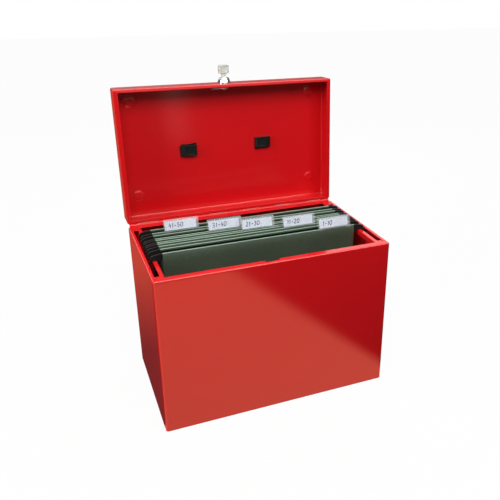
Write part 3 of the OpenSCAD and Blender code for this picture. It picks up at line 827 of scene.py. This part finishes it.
# A handle mount in its own place: pad outside the lid, neck through it, and a boss with a bore.
def handleMount():
    rim, top = 2 * mount["rim"], mount["pad"]
    pad = layers(mount["length"] + rim, mount["width"] + rim, mount["corner"],
                 [(13, 0), (0.3, 0), (0, 0.3), (0, top - 1), (0.3, top - 0.4), (0.9, top), (13, top)])
    neck = layers(*mount["neck"], 0.4, [(8.4, mountInner), (0, mountInner), (0, 0.6), (8.4, 0.6)], 2)
    # round above the axis, and square below it: r / max(|cos t|, |sin t|)
    t = fullTurn(56) + math.pi / 4
    r, bore = mount["bossRadius"], mount["bore"]
    outer = np.where(np.sin(t) >= 0, r, r / np.maximum(np.abs(np.cos(t)), np.abs(np.sin(t))))
    low, high = -mount["bossIn"], mount["bossWidth"] - mount["bossIn"]
    rings = [gridPoints(x, radius * np.cos(t), handle["pivotUp"] + radius * np.sin(t))
             for x, radius in ((low, bore), (low, outer), (high, outer), (high, bore))]
    return joinParts(pad, neck, (np.stack(rings), gridQuads(4, len(t), closeRows=True, closeColumns=True)))


# The mount inside the lid: a plate with one slanting edge, and on it a shorter faceted block with a pressed face.
def mountInside():
    l, w, deep = mount["length"] / 2, mount["width"] / 2, mount["block"]
    end = mountInner - deep
    plate = slab([(-l, -w), (l, -w + mount["cut"]), (l, w), (-l, w)], mountInner - mount["plate"], mountInner)
    outline = [(-l, mountInner), (-l, mountInner - deep * 2 / 3), (-l + deep / 3, end), (l - deep, end),
               (l, mountInner - deep / 2), (l, mountInner)]
    return joinParts(plate, pressed(slab(outline, -w + mount["cut"], w, "y"), *mount["press"]))


# Swings a shape drawn about the handle's pivots to where the handle hangs plumb on the open lid.
def atHandle(points):
    points = np.asarray(points, float) + [0, 0, lidTop + handle["pivotUp"]]
    return openLid(turnAboutX(points, 0, lidTop + handle["pivotUp"], handle["hang"]))


# The grip: a rounded section carried down one arm, along the hand and up the other arm. The section's two half
# widths go from the arm's to the hand's, and it swells a little at the middle of the hand.
def handleGrip():
    corner, reach = handle["corner"], handle["reach"]
    arm = handle["armFace"] - handle["armWidth"] / 2
    path = [(arm, y) for y in np.linspace(0, reach - corner, 7)]
    path += [tuple(p) for p in arc(arm - corner, reach - corner, corner, 0, 90, 8)[1:]]
    path += [(x, reach) for x in np.linspace(arm - corner, 0, 14)[1:]]
    path = np.array(path + [(-x, y) for x, y in path[-2::-1]])
    step = np.gradient(path, axis=0)
    step /= np.linalg.norm(step, axis=1)[:, None]
    across = np.column_stack([step[:, 1], -step[:, 0]])
    length = np.concatenate([[0], np.cumsum(np.linalg.norm(np.diff(path, axis=0), axis=1))])
    share = np.minimum(length, length[-1] - length)
    blend = eased(np.clip((share - reach + corner) / (1.6 * corner), 0, 1))
    swell = handle["swell"] * np.cos(math.pi * (length / length[-1] - 0.5)) ** 6
    halfAcross, halfDeep = (half + (handle["gripHalf"] - half) * blend + swell for half in handle["armHalf"])
    t = fullTurn(40)
    power = (0.55 + 0.45 * blend)[:, None]
    c, s = (np.sign(wave) * np.abs(wave) ** power for wave in (np.cos(t), np.sin(t)))
    aside = halfAcross[:, None] * c
    tube = gridPoints(path[:, :1] + across[:, :1] * aside, path[:, 1:] + across[:, 1:] * aside, halfDeep[:, None] * s)
    return tube, gridQuads(len(path), len(t), closeColumns=True)


# Round ends for the arms, and the pins that turn in the mounts.
def handleEnds():
    face, half = handle["armFace"], handle["armHalf"][1]
    back = face - handle["armWidth"]
    eye = lathe([(0, back), (half - 0.6, back), (half, back + 0.6), (half, face - 0.6), (half - 0.6, face),
                 (0, face)], 36)
    radius, end = handle["pin"][0], face + handle["pin"][1]
    pin = lathe([(0, face - 1), (radius, face - 1), (radius, end - 0.5), (radius - 0.5, end), (0, end)], 30)
    ends = joinParts(alongX(eye), alongX(pin))
    return joinParts(ends, mirrored(ends))


# the same inner block stands on each side, the right-hand one turned half round
for side, name in ((1, "Right"), (-1, "Left")):
    outside = handleMount() if side > 0 else mirrored(handleMount())
    points, faces = mirrored(mountInside())
    whole = joinParts(outside, (points * [-side, -side, 1], faces))
    placed = moved(shifted(whole, side * handle["span"] / 2, 0, lidTop), openLid)
    addPiece("handleMount" + name, "lid", blackPlastic, placed, ["handle_bracket_" + name.lower()],
             edge=0.5, edgeSteps=3, outward=True)
grip = moved(joinParts(handleGrip(), handleEnds()), atHandle)
addPiece("handleGrip", "handle", blackPlastic, grip, ["handle_grip"], outward=True)
print("handle made")


files = {"frontBar": (70, 97, 112, 127, 150), "barStep": (16, 9, 9, 13, 15), "tabX": (120, 70, 6, -44, -108),
         "width": 309.0, "height": 235.0, "top": 259.0, "card": 0.7, "loop": 1.25, "flap": 3.4, "foot": 2.15,
         "bow": 0.9, "ripple": (0.35, 0.2), "creaseDown": 11.5, "creaseIn": 9.0, "creaseDeep": 0.3,
         "splay": (1.3, 1.0, 1.0, 1.0, 1.0)}


# One folder's section as the card's middle line in Y and Z: flap, loop over the front bar, front sheet, foot
# (an arc of radius foot), and the same again upwards at the back. Y is 0 half-way between the bars. Each sheet
# leans out by splay * d / c * exp(1 - d / c) at d below the top, most at its crease c.
def folderSection(step, splay):
    h = step / 2
    r, foot, crease = files["loop"], files["foot"], files["creaseDown"]
    drop = -files["height"] + foot + files["card"] / 2
    topZ = -r - files["card"] / 2
    loop = arc(-h, topZ, r, 0, 180, 6)
    down = np.concatenate([[3.0, 6.0], crease + np.array([-2.5, -0.5, 0, 0.5, 2]),
                           np.linspace(crease + 6, topZ - drop, 24)])
    share = 1 - down / (topZ - drop)
    lean = down / crease * np.exp(1 - down / crease) * np.clip(share * 8, 0, 1)
    flap = [(-h + r, -files["flap"])]

    def half(out):
        sheet = np.column_stack([-foot + (foot - h - r) * share - out * lean, topZ - down])
        return np.concatenate([flap, loop, sheet])

    bottom = arc(0, drop, foot, 180, 360, 8)[1:-1]
    return np.concatenate([half(splay), bottom, half(1.0)[::-1] * [-1, 1]])


# A folder: the section carried along X. Each sheet is bowed by bow * sin(pi u) * sin(pi w) and a soft ripple, and
# has a faint upright crease near each end, deep * exp(-(distance / 1.5)^2).
def folderCard(step, seed, splay):
    section = folderSection(step, splay)
    end = files["width"] / 2
    fine = end - np.array([0, 2.5, 5, 7, 8.5, 10, 12])
    x = np.concatenate([-fine, np.linspace(-138, 138, 40), fine[::-1]])[None, :]
    y, z = section[:, :1], section[:, 1:]
    w = np.clip((z + files["height"]) / (files["height"] - 12), 0, 1)
    u = (x + end) / files["width"]
    wide, narrow = files["ripple"]
    ripple = wide * np.sin(7.3 * u + seed) * np.sin(4.1 * w + 1.7 * seed) + narrow * np.sin(17 * u + 2.3 * seed)
    y = y + np.sin(math.pi * w) * np.sign(y) * (files["bow"] * np.sin(math.pi * u) + ripple)
    crease = files["creaseDeep"] * np.exp(-((np.abs(x) - end + files["creaseIn"]) / 1.5) ** 2)
    y = y + np.sign(y) * np.clip(5 * w, 0, 1) * (w < 0.985) * crease
    return gridPoints(x, y, z), gridQuads(len(section), x.size)[:, ::-1]


hanger = {"top": 258.2, "height": 8.6, "sheet": 1.6, "end": 155.1, "hookSheet": 2.4, "railTop": 248.0,
          "railIn": 162.15, "tipIn": 169.85, "tip": 3.3, "tipDown": 4.5, "under": 1.5, "shoulder": 6.0,
          "shoulderDown": 7.6}


# A hanger: a flat bar with an arm at each end that lies over the rail and drops a tip into its slot.
def hangerBar():
    end, top, onRail, railIn, tipIn = (hanger[name] for name in ("end", "top", "railTop", "railIn", "tipIn"))
    under, tipLow, tipOut = onRail - hanger["under"], onRail - hanger["tipDown"], tipIn + hanger["tip"]
    shoulder = arc(tipOut - hanger["shoulder"], top - hanger["shoulderDown"], hanger["shoulder"], 0, 78, 8)
    right = [(end, under), (railIn - 1.2, under), (railIn, under + 0.9), (railIn + 0.4, onRail + 0.05),
             (tipIn - 0.6, onRail + 0.05), (tipIn, onRail - 0.6), (tipIn + 0.3, tipLow + 0.5), (tipIn + 1.2, tipLow),
             (tipOut - 0.8, tipLow), (tipOut, tipLow + 1), *shoulder.tolist(), (end + 3, top), (end, top)]
    hook = slab(right[::-1], -hanger["hookSheet"] / 2, hanger["hookSheet"] / 2, "y")
    low, reach, half = top - hanger["height"], end + 0.5, hanger["sheet"] / 2
    bar = slab([(-reach, low), (reach, low), (reach, top), (-reach, top)], -half, half, "y")
    return joinParts(hook, mirrored(hook), bar)


tab = {"width": 55.0, "height": 16.0, "lean": 17.0, "sheet": 0.8, "leg": 1.7, "lug": 8.0, "lugDown": 3.0,
       "label": (-26.0, 23.5), "labelOut": 0.3, "card": 0.4}
tabLean = math.tan(math.radians(tab["lean"]))


# Where a card stands in its tab: y goes back by tan(lean) for each z, with a slow wave along X.
def cardFace(x, z, out):
    return out - tab["leg"] + tabLean * z + 0.08 * np.sin(x * 0.2)


# Clear tab: a middle line up the leaning front, over the top and down the back, with lugs that clip the card.
def tabSheet():
    leg = tab["leg"] + tab["sheet"] / 2
    top = tab["height"] - tab["sheet"] / 2
    heights = np.array([0.15, 2, 8, top - 1.2, top - 0.5])
    front = np.column_stack([-leg + tabLean * heights, heights])
    back = np.column_stack([leg + tabLean * heights, heights])[::-1]
    over = [(-leg + 0.35 + tabLean * top, top), (leg - 0.35 + tabLean * top, top)]
    line = np.concatenate([front, over, back])
    end, w, down = tab["width"] / 2, tab["lug"] / 2, tab["lugDown"]
    x = np.array([-end, 0.5 - end, w * 2 - end, end - w * 2, end - 0.5, end])
    parts = [(gridPoints(x[None, :], line[:, :1], line[:, 1:]), gridQuads(len(line), len(x))[:, ::-1])]
    quads = gridQuads(3, 2)
    for y in (-leg, leg):
        for x0 in (w - end, end - w):
            lug = [[(x0 - w, y, 0.15), (x0 + w, y, 0.15)], [(x0 - w, y, 0.8 - down), (x0 + w, y, 0.8 - down)],
                   [(x0 - w + 0.8, y, -down), (x0 + w - 0.8, y, -down)]]
            parts.append((lug, quads[:, ::-1] if y < 0 else quads))
    return joinParts(*parts)


def tabLabel():
    x = np.linspace(*tab["label"], 14)[None, :]
    z = np.linspace(1, tab["height"] - 1.6, 4)[:, None]
    return gridPoints(x, cardFace(x, z, tab["labelOut"]), z), gridQuads(z.size, x.size)


# Pen strokes for plain numbers, in a box one unit high.
strokes = {"0": [[(0.3, 1), (0.08, 0.8), (0, 0.45), (0.12, 0.08), (0.32, 0), (0.52, 0.2), (0.58, 0.6),
                  (0.48, 0.92), (0.3, 1)]],
           "1": [[(0.05, 0.72), (0.26, 1), (0.2, 0)]],
           "2": [[(0.05, 0.76), (0.2, 0.98), (0.44, 0.94), (0.48, 0.68), (0.3, 0.36), (0, 0.02), (0.3, 0.06),
                  (0.58, 0)]],
           "3": [[(0.04, 0.9), (0.3, 1), (0.48, 0.84), (0.4, 0.62), (0.2, 0.53), (0.44, 0.44), (0.52, 0.2),
                  (0.34, 0.02), (0.02, 0.08)]],
           "4": [[(0.3, 1), (0.02, 0.4), (0.56, 0.42)], [(0.46, 0.74), (0.38, -0.06)]],
           "5": [[(0.52, 0.98), (0.14, 0.94), (0.08, 0.55), (0.36, 0.6), (0.52, 0.34), (0.38, 0.05), (0.02, 0.04)]],
           "-": [[(0.1, 0.44), (0.52, 0.48)]]}
pen = {"height": 6.6, "width": 1.1, "start": -20.5, "base": 4.6, "gap": 1.1, "slant": 0.14, "film": 0.1, "out": 0.22,
       "ranges": ("1-10", "11-20", "21-30", "31-40", "41-50")}


# A range of numbers as flat ribbons that lie on a label: each stroke is refined, then set off by half a pen's
# width to each side of its direction.
def writing(words):
    parts, at = [], pen["start"]
    for letter in words:
        for stroke in strokes[letter]:
            corner = np.array(stroke) * pen["height"]
            t = np.arange(len(corner))
            fine = np.linspace(0, len(corner) - 1, 3 * (len(corner) - 1) + 1)
            line = np.column_stack([np.interp(fine, t, corner[:, 0]), np.interp(fine, t, corner[:, 1])])
            line[1:-1] = (line[:-2] + 2 * line[1:-1] + line[2:]) / 4
            run = np.gradient(line, axis=0)
            run /= np.linalg.norm(run, axis=1)[:, None]
            side = np.column_stack([run[:, 1], -run[:, 0]]) * pen["width"] / 2
            flat = np.stack([line - side, line + side], 1)
            x = at + flat[..., 0] + pen["slant"] * flat[..., 1]
            z = pen["base"] + flat[..., 1]
            parts.append((gridPoints(x, cardFace(x, z, pen["out"]), z), gridQuads(len(line), 2)))
        at += (0.35 if letter == "1" else 0.6) * pen["height"] + pen["gap"]
    return joinParts(*parts)


for number, (front, step, tabX) in enumerate(zip(files["frontBar"], files["barStep"], files["tabX"]), 1):
    body = f"file_{number}"
    y0 = front - halfDepth
    folder = folderCard(step, number, files["splay"][number - 1])
    addPiece(f"folder{number}", body, greenCard, shifted(folder, 0, y0 + step / 2, files["top"]),
             [f"file_{number}_folder"], sheet=files["card"], smooth=60)
    for name, y in (("front", y0), ("rear", y0 + step)):
        addPiece(f"hanger{number}{name.capitalize()}", body, blackPlastic,
                 shifted(hangerBar(), 0, y, 0), [f"file_{number}_{name}_bar"], edge=0.45, edgeSteps=3, outward=True)
    onTab = (tabX, y0, files["top"])
    addPiece(f"tab{number}", body, tabPlastic, shifted(tabSheet(), *onTab), [f"file_{number}_tab"],
             sheet=tab["sheet"], edge=0.12)
    addPiece(f"label{number}", body, whiteCard, shifted(tabLabel(), *onTab), [f"file_{number}_label"],
             sheet=tab["card"])
    addPiece(f"numbers{number}", body, ink, shifted(writing(pen["ranges"][number - 1]), *onTab),
             sheet=pen["film"])
print("files made")


# the patch colours are glows seen only in reflections: painted reflections on the box, not lamps
floorLook = {"size": 14.0, "glow": 0.96, "bounce": 0.04, "white": 0.55, "inGloss": 0.03,
             "patchEdge": (0.206, -0.145), "patchSlope": 0.303, "patchReach": (-0.10, -0.66),
             "patchBlur": (0.03, 0.02, 0.12), "patchLight": (3.8, 1.32, 0.92), "sidePatchEdge": -0.186,
             "sidePatchReach": (0.12, 0.50), "sidePatchBlur": 0.01, "sidePatchLight": (0.62, 0.10, 0.06)}


# 1 below an edge and 0 above it, with an even ramp between.
def softStep(tree, value, edge, width):
    return mathNode(tree, "DIVIDE", mathNode(tree, "SUBTRACT", edge + width / 2, value), width, clamp=True)


# 1 for rays that come straight from the camera, or through clear plastic.
def straightRays(tree, path):
    return mathNode(tree, "MAXIMUM", path["Is Camera Ray"], path["Is Transmission Ray"])


# What gloss sees of the floor: dim, with a patch that glows in front of the box, which ends at a slanting line, and a
# fainter one that grows brighter behind the box on its left. The patches are no lamps: they glow for reflections only
# and paint the glare on the box's front and left side.
def floorInGloss(tree, place):
    spot = splitPlace(tree, place)
    edgeX, edgeY = floorLook["patchEdge"]
    slant = mathNode(tree, "MULTIPLY", mathNode(tree, "SUBTRACT", spot["Y"], edgeY), floorLook["patchSlope"])
    edgeBlur, nearBlur, farBlur = floorLook["patchBlur"]
    leftOf = softStep(tree, mathNode(tree, "SUBTRACT", spot["X"], slant), edgeX, edgeBlur)
    near, far = floorLook["patchReach"]
    behind = softStep(tree, spot["Y"], near, nearBlur)
    before = softStep(tree, mathNode(tree, "MULTIPLY", spot["Y"], -1.0), -far, farBlur)
    patch = mathNode(tree, "MULTIPLY", mathNode(tree, "MULTIPLY", leftOf, behind), before)
    seen = mixColour(tree, patch, (floorLook["inGloss"],) * 3, floorLook["patchLight"])
    near, far = floorLook["sidePatchReach"]
    beside = softStep(tree, spot["X"], floorLook["sidePatchEdge"], floorLook["sidePatchBlur"])
    back = mathNode(tree, "SUBTRACT", 1.0, softStep(tree, spot["Y"], (near + far) / 2, far - near))
    return mixColour(tree, mathNode(tree, "MULTIPLY", beside, back), seen, floorLook["sidePatchLight"])


# White where it is looked at straight, with a share of its lit colour, which keeps the shadow.
def makeFloor():
    half = floorLook["size"] / 2
    corners = [(-half, -half, 0), (half, -half, 0), (half, half, 0), (-half, half, 0)]
    mesh = meshOf("floor", (corners, [(0, 1, 2, 3)]))
    floor = addObject("floor", mesh)
    material, tree, shader, place = newMaterial("paleFloor")
    path = newNode(tree, "LightPath", {}).outputs
    straight = straightRays(tree, path)
    lit = mixColour(tree, straight, (floorLook["bounce"],) * 3, (floorLook["white"],) * 3)
    feed(tree, shader, {"Base Color": lit, "Roughness": 0.9})
    seen = mixColour(tree, path["Is Glossy Ray"], (1, 1, 1), floorInGloss(tree, place))
    glow = newNode(tree, "Emission", {"Color": seen})
    share = mathNode(tree, "MULTIPLY", straight, floorLook["glow"])
    mix = newNode(tree, "MixShader", {"Fac": mathNode(tree, "MAXIMUM", share, path["Is Glossy Ray"]),
                                      1: shader.outputs["BSDF"], 2: glow.outputs["Emission"]})
    feed(tree, tree.nodes["Material Output"], {"Surface": mix.outputs["Shader"]})
    mesh.materials.append(material)


room = {"light": 0.10, "rise": (0.60, 0.85), "tilt": 0.55, "inGloss": (0.12, 1.6)}


# White where it is looked at straight. Gloss sees white overhead, and less down to the horizon, least of all beside
# the box: the level follows z + tilt |y|.
def makeRoom():
    world = bpy.data.worlds.new("room")
    bpy.context.scene.world = world
    world.use_nodes = True
    tree = world.node_tree
    path = newNode(tree, "LightPath", {}).outputs
    straight = straightRays(tree, path)
    direction = splitPlace(tree, newNode(tree, "TexCoord", {}).outputs["Generated"])
    tilt = mathNode(tree, "MULTIPLY", mathNode(tree, "ABSOLUTE", direction["Y"]), room["tilt"])
    low, high = room["rise"]
    dim, bright = room["inGloss"]
    ramp = newNode(tree, "MapRange", {"Value": mathNode(tree, "ADD", direction["Z"], tilt), "From Min": low,
                                      "From Max": high, "To Min": dim, "To Max": bright})
    seen = mathNode(tree, "MULTIPLY", ramp.outputs["Result"], path["Is Glossy Ray"])
    level = mathNode(tree, "MAXIMUM", mathNode(tree, "MAXIMUM", straight, seen), room["light"])
    feed(tree, tree.nodes["Background"], {"Color": (1, 1, 1), "Strength": level})


# A soft sun and four softboxes. Each softbox faces the box's middle line at the height of its aim.
sun = {"power": 1.5, "softness": 50.0, "from": (-0.02, -0.08, 1.0)}
softboxes = {"front": {"power": 10.3, "place": (0.06, -0.56, 1.0), "size": (1.2, 0.5), "aim": 0.2},
             "side": {"power": 30.0, "place": (-2.0, -0.45, 1.2), "size": (0.7, 0.7), "aim": 0.2},
             "back": {"power": 9.0, "place": (0.7, 1.6, 1.0), "size": (1.0, 0.8), "aim": 0.25, "inGloss": False},
             "strip": {"power": 0.15, "place": (0.39, -2.2, 0.35), "size": (0.1, 0.7), "aim": 0.35}}


def addLamp(name, kind, power, place, aim):
    lamp = bpy.data.lights.new(name, kind)
    lamp.energy = power
    holder = addObject(name, lamp)
    holder.location = place
    holder.rotation_euler = (Vector(place) - Vector((0, 0, aim))).to_track_quat("Z", "Y").to_euler()
    holder.visible_camera = False
    return holder


def addSoftbox(name, power, place, size, aim, inGloss=True):
    holder = addLamp(name + "Lamp", "AREA", power, place, aim)
    holder.data.shape = "RECTANGLE"
    holder.data.size, holder.data.size_y = size
    holder.visible_glossy = inGloss


makeFloor()
makeRoom()
topLamp = addLamp("topSun", "SUN", sun["power"], sun["from"], 0)
topLamp.data.angle = math.radians(sun["softness"])
for name, values in softboxes.items():
    addSoftbox(name, **values)

view = {"place": (-0.28637, -0.84826, 0.61983), "turn": (67.0301, -0.4758, -22.718), "lens": 43.871,
        "shift": (-0.09518, -0.02073)}
camera = addObject("camera", bpy.data.cameras.new("camera"))
camera.location = view["place"]
camera.rotation_euler = [math.radians(a) for a in view["turn"]]
camera.data.sensor_width = 36
camera.data.lens = view["lens"]
camera.data.shift_x, camera.data.shift_y = view["shift"]
camera.data.clip_start = 0.01
bpy.context.scene.camera = camera
bpy.context.scene.view_settings.view_transform = "Standard"
print("stage made")
